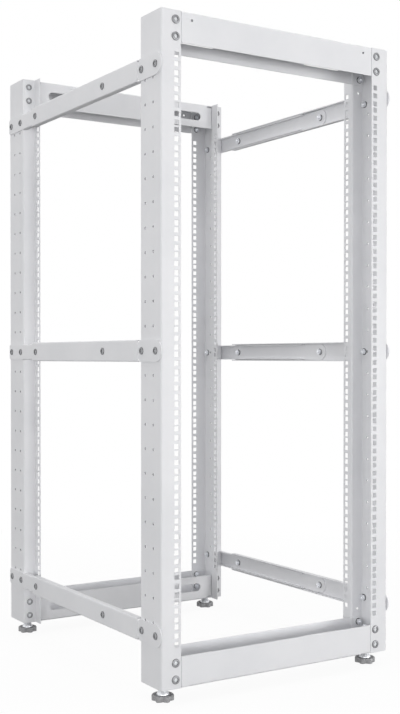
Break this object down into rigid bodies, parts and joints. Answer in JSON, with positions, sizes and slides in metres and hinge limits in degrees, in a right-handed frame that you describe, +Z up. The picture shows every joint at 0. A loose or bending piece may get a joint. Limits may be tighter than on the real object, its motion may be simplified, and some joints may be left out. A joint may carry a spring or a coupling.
{
  "type": "four post open frame rack",
  "caption": "Free-standing open equipment rack of bent steel posts with square hole columns, channel beams, telescoping side rails and levelling feet.",
  "frame": {"origin": "centre of the footprint on the floor", "axes": "+X to the right seen from the front, +Y towards the back, +Z up"},
  "size_m": [0.5388, 0.683, 1.241],
  "materials": {
    "powder_coat": "light grey fine textured powder coat",
    "zinc_plate": "bright zinc plate",
    "pad_plastic": "moulded dark grey plastic"
  },
  "bodies": {
    "root": {"post_front_left": "powder_coat", "post_front_right": "powder_coat", "post_rear_left": "powder_coat", "post_rear_right": "powder_coat", "beam_front_bottom": "powder_coat", "beam_front_top": "powder_coat", "beam_rear_bottom": "powder_coat", "beam_rear_top": "powder_coat", "side_rail_left_bottom_front": "powder_coat", "side_rail_left_bottom_rear": "powder_coat", "side_rail_left_middle_front": "powder_coat", "side_rail_left_middle_rear": "powder_coat", "side_rail_left_top_front": "powder_coat", "side_rail_left_top_rear": "powder_coat", "side_rail_right_bottom_front": "powder_coat", "side_rail_right_bottom_rear": "powder_coat", "side_rail_right_middle_front": "powder_coat", "side_rail_right_middle_rear": "powder_coat", "side_rail_right_top_front": "powder_coat", "side_rail_right_top_rear": "powder_coat", "foot_pad_front_left": "pad_plastic", "foot_stud_front_left": "zinc_plate", "foot_pad_front_right": "pad_plastic", "foot_stud_front_right": "zinc_plate", "foot_pad_rear_left": "pad_plastic", "foot_stud_rear_left": "zinc_plate", "foot_pad_rear_right": "pad_plastic", "foot_stud_rear_right": "zinc_plate"}
  },
  "joints": []
}
